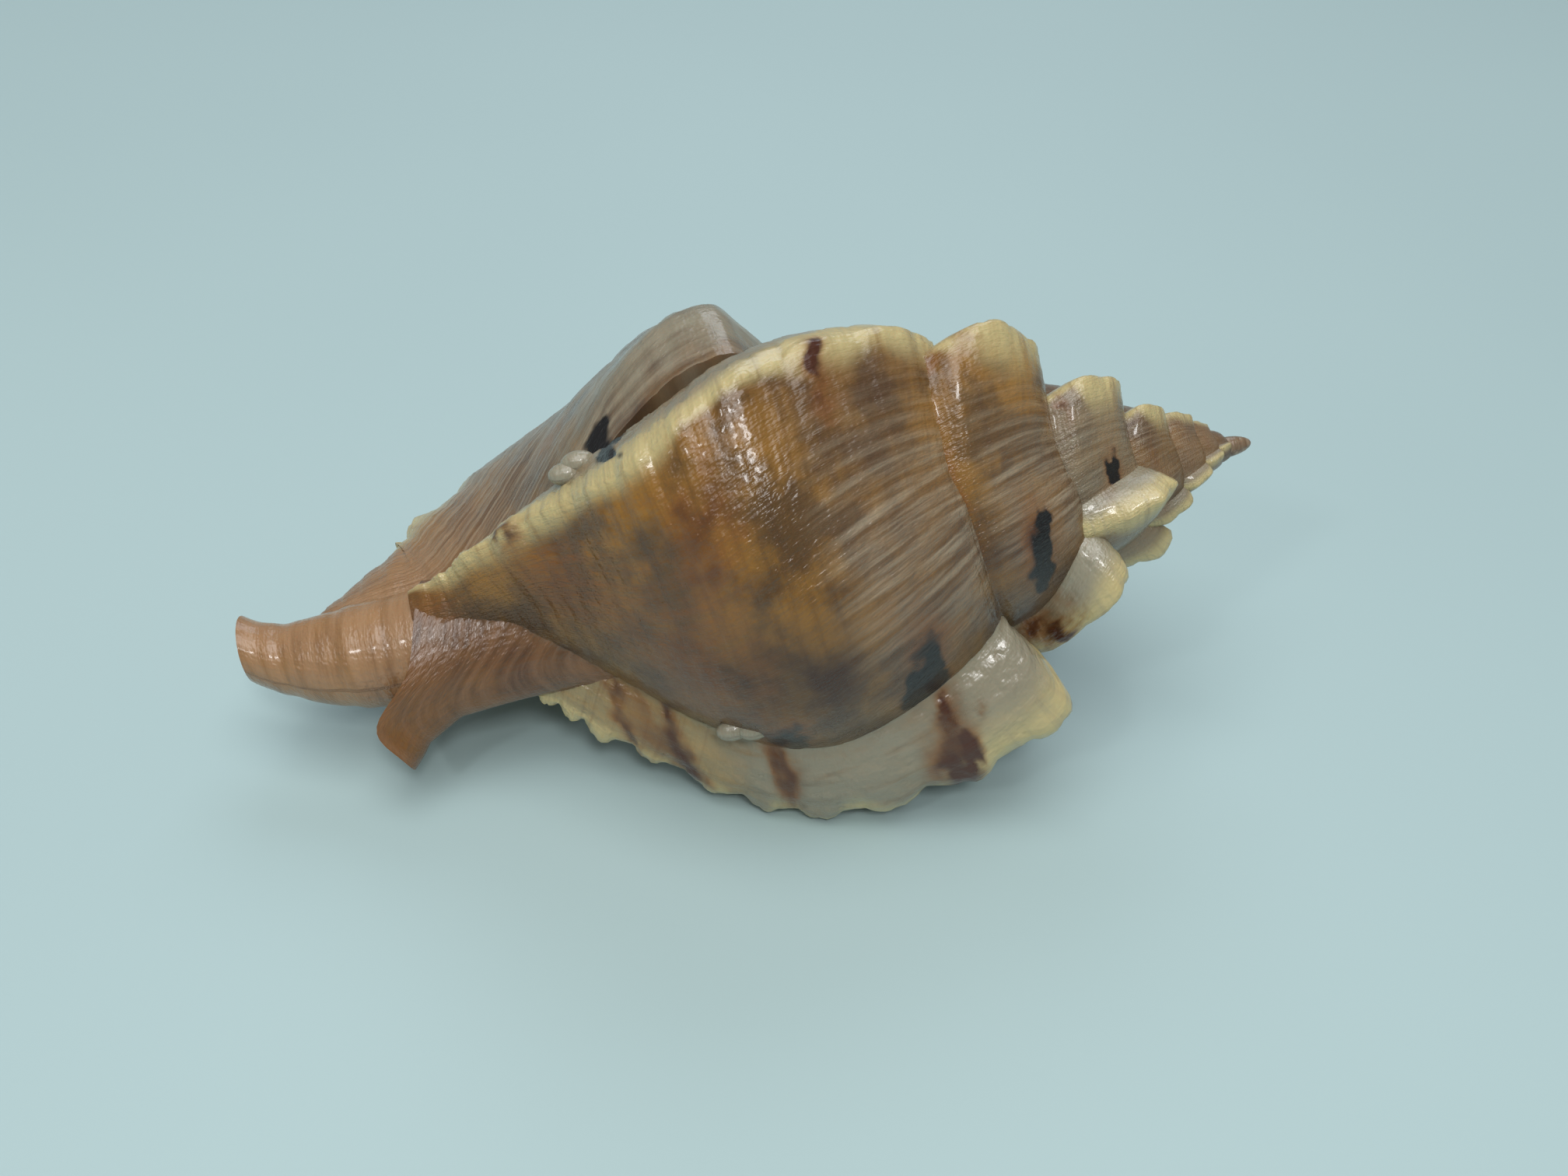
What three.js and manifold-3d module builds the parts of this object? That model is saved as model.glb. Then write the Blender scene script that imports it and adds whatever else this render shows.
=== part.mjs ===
// A murex shell: a three-winged murex lying on its underside.
//
// The shell is one grown piece, so it is one solid. It is worked out about its coiling axis
// and then laid down in its resting pose:
//   x     distance along the axis, from the tip of the canal (0) to the apex
//   r     distance from the axis
//   phi   direction about the axis, from -Y (the front) towards +Z (the top)
//   t     growth angle: 0 at the last varix, and falling towards the apex
// Growth stops at each varix, which flares into a wing. Each stretch from one varix to the
// next is a closed solid whose outside is the body curve, carried round by the growth angle
// and lifted by the wing. The stretches are joined with a core, the canals and the teeth,
// and then the aperture and the canal openings are cut. Millimetres and degrees.

import * as THREE from 'three';
import Module from 'manifold-3d';
import { mergeVertices } from 'three/addons/utils/BufferGeometryUtils.js';

// ---- driving dimensions -------------------------------------------------------------

const APEX_X = 59.6;
const GROWTH_RATE = 0.00125;          // growth in size per degree, as a natural logarithm
// Where growth stopped for each varix, from the last one back, and how far apart earlier ones are.
const VARICES = [0, -118, -240, -362, -472, -606, -728, -836, -905, -976, -1090, -1196];
const EARLY_VARIX_STEP = 112;
const LAST_VARIX_PHI = 196;
const STRETCHES = 22;

const LAST_SUTURE = 22.2;             // suture to apex, along the axis, at the last varix
const SUTURE_RADIUS = 0.488;          // radius at the suture, as a share of that length
const PERIPHERY_RADIUS = 12.6;        // widest radius of the body, two varices back
const PERIPHERY_DROP = 10.2;          // suture to the widest radius, along the axis
const EARLY_DROP = 0.616;             // the same on early whorls, as a share of the suture length
const LATE_WIDENING = 0.55;           // how much less the last whorl widens than it lengthens
const SHOULDER_POWER = 1.5;           // superellipse power of the shoulder
const SHOULDER_SHARE = 0.38;          // share of the body curve that is shoulder
const BASE_LENGTH = 18;               // widest radius to the neck of the canal
const BASE_POWER = 0.85;
const NECK_RADIUS = 2.8;
const NECK_TIP_RADIUS = 1.8;
const NECK_TAPER = 9;                 // where the neck has its full radius
const INNER_SHARE = 0.25;             // inner face of a stretch, as a share of its radius
const OVERLAP = 14;                   // how far a stretch reaches under the one before it

const RAMP = 62;                      // growth over which a wing's back face rises
const RAMP_POWER = 1.7;
// The same where the last wing runs along the canal, up to a place along the axis.
const CANAL_RAMP = { growth: 95, power: 2.6, ends: [14, 26] };
const LEAD = 12;                      // growth over which its front face falls
const LEAD_POWER = 1.1;
const RECURVE = 3.5;                  // how far a rim leans back
const EARLY_WING = 0.2;               // height of early wings, as a share of the suture length

// The wings from the last one back: height over the body, gain on the shoulder, the share of
// the body curve over which the wing rises from the suture, and the growth over which its
// front face falls.
const WINGS = [
  { height: 7.6, shoulder: 0.85, rise: 0.12, lead: 11 },
  { height: 2.6, shoulder: 1.1, rise: 0.06, lead: 11 },
  { height: 4.3, shoulder: 1.35, rise: 0.09, lead: 18 },
  { height: 4.6, shoulder: 1.0, rise: 0.25, lead: 12 },
  { height: 4.7, shoulder: 0.96, rise: 0.2, lead: 8 },
  { height: 2.3, shoulder: 1.3, rise: 0.09, lead: 16 },
  { height: 3.0, shoulder: 1.0, rise: 0.2, lead: 12 },
  { height: 2.9, shoulder: 0.98, rise: 0.19, lead: 8 },
  { height: 1.0, shoulder: 2.2, rise: 0.04, lead: 14 },
  { height: 1.2, shoulder: 1.7, rise: 0.05, lead: 12 },
  { height: 1.4, shoulder: 1.0, rise: 0.2, lead: 12 },
  { height: 1.6, shoulder: 0.9, rise: 0.2, lead: 8 },
];
// The last wing reaches far out along the canal: [x, share of its height].
const LAST_WING_REACH = [[0, 0], [1.8, 0.02], [2.9, 0.1], [4.6, 0.36], [9, 0.75], [13.4, 0.82],
  [16, 0.84], [18.5, 0.98], [21, 1.1], [25, 1.08], [30, 1.02], [36, 1], [APEX_X, 0.9]];
// How far its rim is ahead of a straight rim: [x, degrees].
const LAST_RIM_SLANT = [[0, 19], [2.9, 5], [4.6, -10], [9, -25], [13.4, -26], [17, -18], [20, -3],
  [24, 14], [28, 20.5], [34, 23], [APEX_X, 25]];
// The two wings before it fade towards the canal: [mm from the widest radius, share of height].
const WING_REACHES = {
  1: [[-22, 0.3], [-18, 0.8], [-15, 1.08], [-12, 1.05], [-9.6, 0.6], [-8, 0.55], [-5, 0.75], [0, 1]],
  2: [[-22, 0.25], [-18, 0.45], [-15, 0.75], [-12, 0.95], [0, 1], [4, 1.12], [8, 1]],
};
// Only the shoulder of an older wing stands clear of the whorl that has grown over it.
const OLD_WING_REACH = [[-6, 0], [-1, 0.15], [1, 0.6], [3, 0.95], [6, 1]];

// Older rims bend forward on both sides of a place: degrees per mm squared, and degrees.
const RIM_BEND = { from: -6.5, bend: 0.0645, onCanal: 0.09, behind: 5.2, within: [-22, 12] };
// How far a rim runs ahead on its shoulder, in degrees.
const SHOULDER_ADVANCE = { 5: 28 };
const SHOULDER_ENDS = [3, 9];         // where the shoulder starts and is full, from the widest radius
// How far the rim of the wing before last is drawn back over its hollow: centre x, half length.
const RIM_HOLLOW = { x: 25, half: 6, back: 10 };
// The last whorl is sunk under its shoulder, and rises again between these growth angles.
const SHOULDER_DIP = { depth: 2.5, rises: [-80, -35], starts: [0, 0.15], ends: [0.26, 0.36] };

const APERTURE = { x: 26.5, growth: 38, length: 14, width: 9.2, radius: 12 };
const LIP = { height: 1, width: 0.3 };
const LIP_CLOSING = 62;               // growth from the last varix to the end of the inner lip
const LIP_DROP = 0.3;                 // how much the radius falls over that growth
const LIP_DROP_END = 0.85;            // share of that growth at which it has fallen
// The hollow behind the aperture: centre x, r and phi, half length along x, half width.
const HOLLOW = [
  { x: 26.0, r: 18.0, phi: 243, long: 7.6, wide: 5.2 },
  { x: 26.3, r: 12.6, phi: 239, long: 6.9, wide: 4.5 },
  { x: 27.5, r: 9.6, phi: 231, long: 6.2, wide: 3.9 },
  { x: 29.0, r: 7.9, phi: 213, long: 4.8, wide: 3.0 },
  { x: 30.5, r: 7.8, phi: 192, long: 2.6, wide: 1.7 },
];

const CANAL = { bore: 0.95, boreDepth: 7 };
const CANAL_RADII = [[0, 1.9], [1, 1.95], [3, 2.3], [6, 3.0], [9, 3.3], [24, 3.2]];
// The canal bows out of the axis: how far, where to, how soon it starts and where it ends.
const CANAL_BOW = { out: 1.9, phi: -50, starts: 2.5, ends: [8, 22] };
// Where the canal ended at the last two varices, and at the one before them.
const OLD_CANAL_TIPS = [0, 10.4];
const EARLY_CANAL_TIP = 15;
// The flattened canal of the varix before last: centre x, how far down and out of the axis it
// lies, half width and half thickness. Its end slants back towards its upper edge, and juts
// forward at one place: how far down, half width and how far.
const OLD_CANAL = [
  { x: 10.3, down: 1.8, out: 1.3, wide: 5.3, thick: 2.7 },
  { x: 12, down: 1.4, out: 1.2, wide: 4.6, thick: 2.5 },
  { x: 14.5, down: 1.15, out: 1.1, wide: 4.2, thick: 2.4 },
  { x: 18.5, down: 1.4, out: 0.9, wide: 4.4, thick: 2.6 },
  { x: 25, down: 1.4, out: 0.6, wide: 5.4, thick: 3 },
];
const OLD_CANAL_SLANT = 0.2;
const OLD_CANAL_JUT = { down: 4.5, half: 2, forward: 2.1 };
const OLD_CANAL_DOWN_PHI = -49;
const OLD_CANAL_BORE = [
  { x: 9, down: 5.2, out: 0.9, wide: 1.4, thick: 0.9 },
  { x: 12.6, down: 4.6, out: 0.9, wide: 0.8, thick: 0.5 },
];
// Rounded teeth on the front faces of the two wings before the last.
const TEETH = [{ x: 28.2, r: 11.5, phi: -23 }, { x: 27, r: 11.2, phi: -24 },
  { x: 21.9, r: 10.2, phi: 75 }, { x: 21.1, r: 9.9, phi: 73 }];
const TOOTH = { radius: 0.62, length: 0.95 };

const CORE = [[58.6, 0.3], [57, 0.8], [52, 2.3], [47, 3.6], [43, 4.8], [38, 5.6], [33, 6.2],
  [27, 5.6], [20, 3.3], [14, 1.8], [10, 1.4]];
const NUCLEUS = { x: 58.1, radius: 0.62, length: 1.7 };

// The resting pose: the axis slopes up to the apex and rolls onto the wings.
const REST_PITCH = 11.06;
const REST_ROLL = -0.64;

// ---- helpers ------------------------------------------------------------------------

const { degToRad, clamp, lerp, smoothstep } = THREE.MathUtils;

function interpolate(points, x) {
  const after = points.findIndex(([px]) => px >= x);
  if (after === 0) return points[0][1];
  if (after < 0) return points.at(-1)[1];
  const [[x0, y0], [x1, y1]] = [points[after - 1], points[after]];
  return lerp(y0, y1, (x - x0) / (x1 - x0));
}

function spread(from, to, count) {
  return Array.from({ length: count }, (_, i) => lerp(from, to, i / count));
}

const bell = (value) => Math.exp(-(value ** 2));

const across = (phi) => new THREE.Vector3(0, -Math.cos(degToRad(phi)), Math.sin(degToRad(phi)));

// A point at distance r and direction phi about the axis. The canal bows a little out of it.
function place(x, r, phi) {
  const started = 1 - Math.exp(-Math.max(x, 0) / CANAL_BOW.starts);
  const bow = CANAL_BOW.out * started * (1 - smoothstep(x, ...CANAL_BOW.ends));
  const bowed = across(CANAL_BOW.phi).multiplyScalar(bow);
  return across(phi).multiplyScalar(r).add(bowed).setX(x);
}

// ---- the body curve and the wings ---------------------------------------------------

const grown = (t) => Math.exp(GROWTH_RATE * t);

function varixAt(index) {
  const earlier = index + 1 - VARICES.length;
  return VARICES[index] ?? VARICES.at(-1) - earlier * EARLY_VARIX_STEP;
}

function bodyAt(t) {
  const suture = LAST_SUTURE * grown(t);
  const turning = varixAt(2);
  const drop = Math.min(EARLY_DROP * suture, PERIPHERY_DROP);
  return {
    sutureX: APEX_X - suture,
    sutureR: SUTURE_RADIUS * suture,
    wideX: APEX_X - suture - drop,
    wideR: PERIPHERY_RADIUS * grown(Math.min(t - turning, LATE_WIDENING * (t - turning))),
    scale: Math.min(drop / PERIPHERY_DROP, 1),
  };
}

// A point of the body curve: share 0 is at the suture, 1 at the end of the canal.
function bodyCurve(body, share, tipX) {
  if (share < SHOULDER_SHARE) {
    const angle = (share / SHOULDER_SHARE) * Math.PI / 2;
    const power = 2 / SHOULDER_POWER;
    return new THREE.Vector2(
      body.wideX + (body.sutureX - body.wideX) * Math.cos(angle) ** power,
      body.sutureR + (body.wideR - body.sutureR) * Math.sin(angle) ** power,
    );
  }
  const x = lerp(body.wideX, tipX, (share - SHOULDER_SHARE) / (1 - SHOULDER_SHARE));
  const down = clamp((body.wideX - x) / (BASE_LENGTH * body.scale), 0, 1);
  const fall = ((1 + Math.cos(Math.PI * down)) / 2) ** BASE_POWER;
  const neck = lerp(NECK_TIP_RADIUS, NECK_RADIUS, smoothstep(x, 0, NECK_TAPER)) * body.scale;
  return new THREE.Vector2(x, neck + (body.wideR - neck) * fall);
}

function wingHeight(index, share, x, body) {
  const early = { height: EARLY_WING * (APEX_X - body.sutureX), shoulder: 1, rise: 0.1 };
  const wing = WINGS[index] ?? early;
  const fromWidest = (x - body.wideX) / body.scale;
  const reach = index === 0
    ? interpolate(LAST_WING_REACH, x)
    : interpolate(WING_REACHES[index] ?? OLD_WING_REACH, fromWidest);
  const shoulder = lerp(1, wing.shoulder, smoothstep(fromWidest, ...SHOULDER_ENDS));
  return wing.height * reach * shoulder * smoothstep(share, 0, wing.rise);
}

// How far the rim is ahead of the varix, in degrees.
function rimSlant(index, x, body) {
  if (index === 0) return interpolate(LAST_RIM_SLANT, x);
  const fromWidest = clamp((x - body.wideX) / body.scale, ...RIM_BEND.within);
  const hollow = index === 1 ? RIM_HOLLOW.back * bell((x - RIM_HOLLOW.x) / RIM_HOLLOW.half) : 0;
  const advance = (SHOULDER_ADVANCE[index] ?? 0) * smoothstep(fromWidest, ...SHOULDER_ENDS);
  const bend = index === 1 && fromWidest < RIM_BEND.from ? RIM_BEND.onCanal : RIM_BEND.bend;
  return bend * (fromWidest - RIM_BEND.from) ** 2 - RIM_BEND.behind - hollow + advance;
}

// ---- one stretch of growth ----------------------------------------------------------

// The raised lip round the aperture: a bell on the distance from its oval.
function lipHeight(x, after) {
  const along = (x - APERTURE.x) / (APERTURE.length / 2);
  const sideways = degToRad(after - APERTURE.growth) * APERTURE.radius / (APERTURE.width / 2);
  return LIP.height * bell((Math.hypot(along, sideways) - 1) / LIP.width);
}

function shoulderDip(after, share) {
  const { depth, rises, starts, ends } = SHOULDER_DIP;
  const under = smoothstep(share, ...starts) * (1 - smoothstep(share, ...ends));
  return depth * (1 - smoothstep(after, ...rises)) * under;
}

function stretchPoint(index, after, share) {
  const varix = varixAt(index);
  const t = varix + after;
  const body = bodyAt(t);
  const rimBody = bodyAt(varix);
  const early = APEX_X - (APEX_X - EARLY_CANAL_TIP) * grown(varix - varixAt(2));
  const tipX = OLD_CANAL_TIPS[index] ?? early;
  const point = bodyCurve(body, share, tipX);
  const before = bodyCurve(body, Math.max(share - 1e-3, 0), tipX);
  const beyond = bodyCurve(body, Math.min(share + 1e-3, 1), tipX);
  const outward = new THREE.Vector2(beyond.y - before.y, before.x - beyond.x).normalize();
  if (outward.y < 0) outward.negate();

  const alongCanal = index === 0 ? 1 - smoothstep(point.x, ...CANAL_RAMP.ends) : 0;
  const ramp = lerp(RAMP, CANAL_RAMP.growth, alongCanal);
  const up = clamp(1 + after / ramp, 0, 1) ** lerp(RAMP_POWER, CANAL_RAMP.power, alongCanal);
  const lead = WINGS[index]?.lead ?? LEAD;
  const down = clamp(1 - after / lead, 0, 1) ** LEAD_POWER;
  const lift = after <= 0 ? up : down;
  const height = wingHeight(index, share, point.x, rimBody) * lift;
  const closing = 1 - LIP_DROP * smoothstep(after, WINGS[0].lead / 2, LIP_CLOSING * LIP_DROP_END);
  const lip = after > 0 ? lipHeight(point.x, after) : 0;
  const dip = index === 0 ? shoulderDip(after, share) : 0;
  const lifted = point.clone().addScaledVector(outward, height);
  const phi = LAST_VARIX_PHI + t + rimSlant(index, point.x, rimBody) - RECURVE * lift ** 2;
  return {
    outer: place(lifted.x, lifted.y * closing + lip - dip, phi),
    inner: place(point.x, point.y * INNER_SHARE, phi),
  };
}

// A closed surface through rings of points, each ring going the same way round.
function loft(rings) {
  const count = rings[0].length;
  const positions = rings.flat().flatMap((p) => p.toArray());
  const index = [];
  for (let i = 0; i + 1 < rings.length; i++) {
    for (let j = 0; j < count; j++) {
      const [a, b] = [i * count + j, i * count + (j + 1) % count];
      index.push(a, b, b + count, a, b + count, a + count);
    }
  }
  // The ends are strips between the two sides of a ring, so that they stay flat and thin.
  const last = (rings.length - 1) * count;
  for (let j = 0; j + 1 < count / 2; j++) {
    const [a, b, c, d] = [j, j + 1, count - 2 - j, count - 1 - j];
    index.push(a, c, b, a, d, c);
    index.push(last + a, last + b, last + c, last + a, last + c, last + d);
  }
  const geometry = new THREE.BufferGeometry();
  geometry.setAttribute('position', new THREE.Float32BufferAttribute(positions, 3));
  geometry.setIndex(index);
  return geometry;
}

function stretchGeometry(index) {
  const fine = index < 4 ? 1 : index < 9 ? 0.5 : 0.3;
  const step = varixAt(index) - varixAt(index + 1);
  const lead = WINGS[index]?.lead ?? LEAD;
  const afters = [
    ...spread(-step - OVERLAP, -RAMP, Math.ceil(9 * fine)),
    ...spread(-RAMP, 0, Math.ceil(13 * fine)),
    ...spread(0, lead, Math.ceil(4 * fine)),
    lead,
  ];
  if (index === 0) afters.push(...spread(lead + 4, LIP_CLOSING, 12), LIP_CLOSING);
  const rows = index < 3 ? 30 : index < 9 ? 15 : 8;
  const shares = [...spread(0, 1, rows), 1];
  return loft(afters.map((after) => {
    const points = shares.map((share) => stretchPoint(index, after, share));
    return [...points.map((p) => p.outer), ...points.map((p) => p.inner).reverse()];
  }));
}

// ---- core, canals, teeth and hollows ------------------------------------------------

// A ring of points about a centre: halves are along the two directions in its plane.
function ring(centre, first, second, sides) {
  return Array.from({ length: sides }, (_, i) => {
    const angle = (2 * Math.PI * (i + 0.5)) / sides;
    return centre.clone().addScaledVector(first, Math.cos(angle)).addScaledVector(second, Math.sin(angle));
  });
}

// A round ring about the axis.
function roundRing(x, r, sides) {
  return ring(place(x, 0, 0), across(0).multiplyScalar(r), across(90).multiplyScalar(r), sides);
}

const coreGeometry = () => loft(CORE.map(([x, r]) => roundRing(x, r, 16)));

function nucleusGeometry() {
  return loft(spread(0, 90, 6).map((angle) => {
    const x = NUCLEUS.x + NUCLEUS.length * Math.sin(degToRad(angle));
    return roundRing(x, NUCLEUS.radius * Math.cos(degToRad(angle)), 12);
  }).reverse());
}

function canalGeometry(radii, from, to, sides) {
  return loft(spread(0, 1.0001, 13).reverse().map((share) => {
    const x = lerp(from, to, share);
    return roundRing(x, interpolate(radii, x), sides);
  }));
}

// The canal of the varix before last stands out beside the new one as a flattened tube.
function oldCanalGeometry(rows) {
  const sideways = across(OLD_CANAL_DOWN_PHI);
  return loft(rows.map(({ x, down, out, wide, thick }) => {
    const axis = place(x, 0, 0);
    const downwards = sideways.clone().setX(-OLD_CANAL_SLANT);
    const outwards = across(OLD_CANAL_DOWN_PHI + 90);
    const centre = axis.clone().addScaledVector(downwards, down).addScaledVector(outwards, out);
    const points = ring(centre, downwards.multiplyScalar(wide), outwards.multiplyScalar(thick), 20);
    for (const point of points) {
      const depth = point.clone().sub(axis).dot(sideways);
      point.x -= OLD_CANAL_JUT.forward * bell((depth - OLD_CANAL_JUT.down) / OLD_CANAL_JUT.half);
    }
    return points;
  }));
}

function toothGeometry({ x, r, phi }) {
  const knob = new THREE.SphereGeometry(TOOTH.radius, 8, 6);
  knob.scale(TOOTH.length / TOOTH.radius, 1, 1);
  return knob.translate(...place(x, r, phi).toArray());
}

function hollowGeometry() {
  return loft(HOLLOW.map(({ x, r, phi, long, wide }, i) => {
    const centre = place(x, r, phi);
    const next = HOLLOW[Math.min(i + 1, HOLLOW.length - 1)];
    const last = HOLLOW[Math.max(i - 1, 0)];
    const path = place(next.x, next.r, next.phi).sub(place(last.x, last.r, last.phi)).setX(0).normalize();
    const sideways = new THREE.Vector3(0, -path.z, path.y).multiplyScalar(wide);
    return ring(centre, new THREE.Vector3(long, 0, 0), sideways, 20);
  }));
}

// ---- joining and cutting ------------------------------------------------------------

const wasm = await Module();
wasm.setup();

function toSolid(geometry) {
  const bare = geometry.clone();
  bare.deleteAttribute('normal');
  bare.deleteAttribute('uv');
  const merged = mergeVertices(bare, 1e-4);
  const triVerts = new Uint32Array(merged.index.array);
  const make = () => new wasm.Manifold(new wasm.Mesh({
    numProp: 3,
    vertProperties: merged.attributes.position.array,
    triVerts,
  }));
  const solid = make();
  if (solid.volume() > 0) return solid;
  triVerts.reverse();
  return make();
}

function toGeometry(solid) {
  const { vertProperties, triVerts } = solid.getMesh();
  const geometry = new THREE.BufferGeometry();
  geometry.setAttribute('position', new THREE.BufferAttribute(vertProperties, 3));
  geometry.setIndex(new THREE.BufferAttribute(triVerts, 1));
  geometry.computeVertexNormals();
  return geometry;
}

function shellGeometry() {
  const grownParts = [
    ...Array.from({ length: STRETCHES }, (_, index) => stretchGeometry(index)),
    coreGeometry(),
    nucleusGeometry(),
    canalGeometry(CANAL_RADII, 0, CANAL_RADII.at(-1)[0], 18),
    oldCanalGeometry(OLD_CANAL),
    ...TEETH.map(toothGeometry),
  ].map(toSolid);
  const openings = [
    hollowGeometry(),
    canalGeometry([[0, CANAL.bore]], -1, CANAL.boreDepth, 10),
    oldCanalGeometry(OLD_CANAL_BORE),
  ].map(toSolid);
  const whole = grownParts.reduce((shell, part) => shell.add(part));
  return toGeometry(openings.reduce((shell, opening) => shell.subtract(opening), whole));
}

const finish = new THREE.MeshStandardMaterial({ color: 0xa8824e, roughness: 0.4, metalness: 0 });
const shell = new THREE.Mesh(shellGeometry(), finish);
shell.name = 'shell';

// Laid down on its wings, with the middle of its underside at the origin.
shell.rotation.set(degToRad(REST_ROLL), -degToRad(REST_PITCH), 0, 'YXZ');
const bounds = new THREE.Box3().setFromObject(shell, true);
const middle = bounds.getCenter(new THREE.Vector3());
shell.position.set(-middle.x, -middle.y, -bounds.min.z);

const murex = new THREE.Group();
murex.add(shell);

export default murex;
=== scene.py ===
"""A murex shell lying on its wings, on a plain pale floor in soft studio light.

The shell is worked out about its coiling axis, in millimetres and degrees, and then laid down:
    x         distance along the axis, from the tip of the canal (0) to the apex
    r         distance from the axis
    phi       direction about the axis, from the front towards the top
    t         growth angle: 0 at the last varix, and falling towards the apex
    after     growth angle counted from one varix: negative behind its rim, positive in front
    share     place on the body curve: 0 at the suture, 1 at the end of the canal
    up_spire  distance from the widest place of the whorl towards the apex, at full size
    lift      height on the wing, from 0 at the body to 1 at the rim
    index     which varix a stretch ends at, counted back from the last, which is 0
Each varix closes one stretch of growth and flares into a wing. Every stretch is a closed solid,
and they are joined with the core, the canals and the teeth before the aperture is cut.
"""
import logging
from dataclasses import dataclass, field
from enum import Enum
from typing import Sequence

import bpy
import numpy as np
from mathutils import Matrix, Vector


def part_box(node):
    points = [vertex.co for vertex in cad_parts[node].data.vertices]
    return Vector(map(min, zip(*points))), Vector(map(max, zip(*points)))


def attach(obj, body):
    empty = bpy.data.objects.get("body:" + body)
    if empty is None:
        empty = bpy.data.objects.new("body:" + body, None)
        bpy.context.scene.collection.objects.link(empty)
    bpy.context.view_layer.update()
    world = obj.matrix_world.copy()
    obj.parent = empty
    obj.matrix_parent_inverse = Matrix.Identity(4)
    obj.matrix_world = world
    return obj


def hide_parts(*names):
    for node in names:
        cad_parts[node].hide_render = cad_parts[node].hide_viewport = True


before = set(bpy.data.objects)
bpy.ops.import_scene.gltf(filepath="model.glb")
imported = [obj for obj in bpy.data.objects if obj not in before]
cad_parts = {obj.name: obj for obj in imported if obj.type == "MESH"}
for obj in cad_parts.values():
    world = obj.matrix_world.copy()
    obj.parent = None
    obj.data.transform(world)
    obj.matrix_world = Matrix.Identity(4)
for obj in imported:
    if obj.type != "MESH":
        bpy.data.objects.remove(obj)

logging.basicConfig(level=logging.INFO, format="%(message)s")
LOG = logging.getLogger("murex")

Array = np.ndarray
Pair = tuple[float, float]
Points = tuple[Pair, ...]
Rows = tuple[tuple[float, ...], ...]
Socket = bpy.types.NodeSocket
SEED = 7
NOISE_CELLS = 64
GROWTH_RADIUS = 14.0
CURVE_END = 43.0
CANAL_BOW = 1.9
CANAL_BOW_PHI = -50.0
CANAL_BOW_RISE = 2.5
CANAL_BOW_ENDS = (8.0, 22.0)


class Join(Enum):
    """How a solid is combined with the shell."""

    ADD = "UNION"
    CUT = "DIFFERENCE"


class Zone(Enum):
    """What a point of the shell belongs to, as the value its zone attribute holds."""

    OUTSIDE = 0.0
    LINING = 1.0


# ---- formulas shared by the shapes ----


def ease(value: Array, low: float, high: float) -> Array:
    """Rise from 0 at low to 1 at high, level at both ends."""
    share = np.clip((value - low) / (high - low), 0.0, 1.0)
    return share * share * (3.0 - 2.0 * share)


def bell(value: Array, centre: float | Array, width: float) -> Array:
    """A Gaussian bump: e to the minus of the squared distance over the width."""
    return np.exp(-(((value - centre) / width) ** 2))


def table(value: Array, points: Points) -> Array:
    """Straight lines through a short list of points."""
    return np.interp(value, [p[0] for p in points], [p[1] for p in points])


def lattice_noise(across: Array, along: Array, seed: int) -> Array:
    """Smooth noise from -1 to 1: random values at whole numbers, eased from one to the next.

    Args:
        across: First coordinate.
        along: Second coordinate, which broadcasts against the first.
        seed: Chooses the random values.

    Returns:
        The noise at each point.
    """
    values = np.random.default_rng(SEED + seed).uniform(-1.0, 1.0, (NOISE_CELLS, NOISE_CELLS))
    across, along = np.broadcast_arrays(across, along)
    row, column = np.floor(across).astype(int), np.floor(along).astype(int)
    down, over = across - row, along - column
    down, over = down * down * (3 - 2 * down), over * over * (3 - 2 * over)
    row, column = row % NOISE_CELLS, column % NOISE_CELLS
    next_row, next_column = (row + 1) % NOISE_CELLS, (column + 1) % NOISE_CELLS
    near = values[row, column] * (1 - over) + values[row, next_column] * over
    far = values[next_row, column] * (1 - over) + values[next_row, next_column] * over
    return near * (1 - down) + far * down


@dataclass(frozen=True)
class Ripple:
    """Noise over two coordinates: its strength, the size of its cells along each, and its seed."""

    strength: float
    first: float
    second: float
    seed: int

    def at(self, first: Array, second: Array, index: int = 0) -> Array:
        """The noise at each point, with its own values on each stretch."""
        return self.strength * lattice_noise(first / self.first, second / self.second, self.seed + index)


def around_at(after: Array) -> Array:
    """Growth in millimetres on the last whorl."""
    return np.radians(after) * GROWTH_RADIUS


def layers(shape: tuple[int, ...], *values: Array) -> Array:
    """Stack values that broadcast to one shape as the last axis."""
    return np.stack([np.broadcast_to(value, shape) for value in values], axis=-1)


def place(x: Array, r: Array, phi: Array) -> Array:
    """Turn x, r and phi into points, with the canal bowed a little out of the axis.

    Args:
        x: Distance along the axis.
        r: Distance from the axis.
        phi: Direction about the axis, in degrees.

    Returns:
        Points with a last axis of length 3.
    """
    x, r, phi = np.broadcast_arrays(np.asarray(x, float), r, phi)
    bow = CANAL_BOW * (1 - np.exp(-np.maximum(x, 0) / CANAL_BOW_RISE)) * (1 - ease(x, *CANAL_BOW_ENDS))
    angle, bow_angle = np.radians(phi), np.radians(CANAL_BOW_PHI)
    y = -r * np.cos(angle) - bow * np.cos(bow_angle)
    z = r * np.sin(angle) + bow * np.sin(bow_angle)
    return np.stack([x, y, z], axis=-1)


def across(phi: float) -> Array:
    """The unit vector from the axis in the direction phi."""
    return np.array([0.0, -np.cos(np.radians(phi)), np.sin(np.radians(phi))])


# ---- closed solids ----


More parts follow.
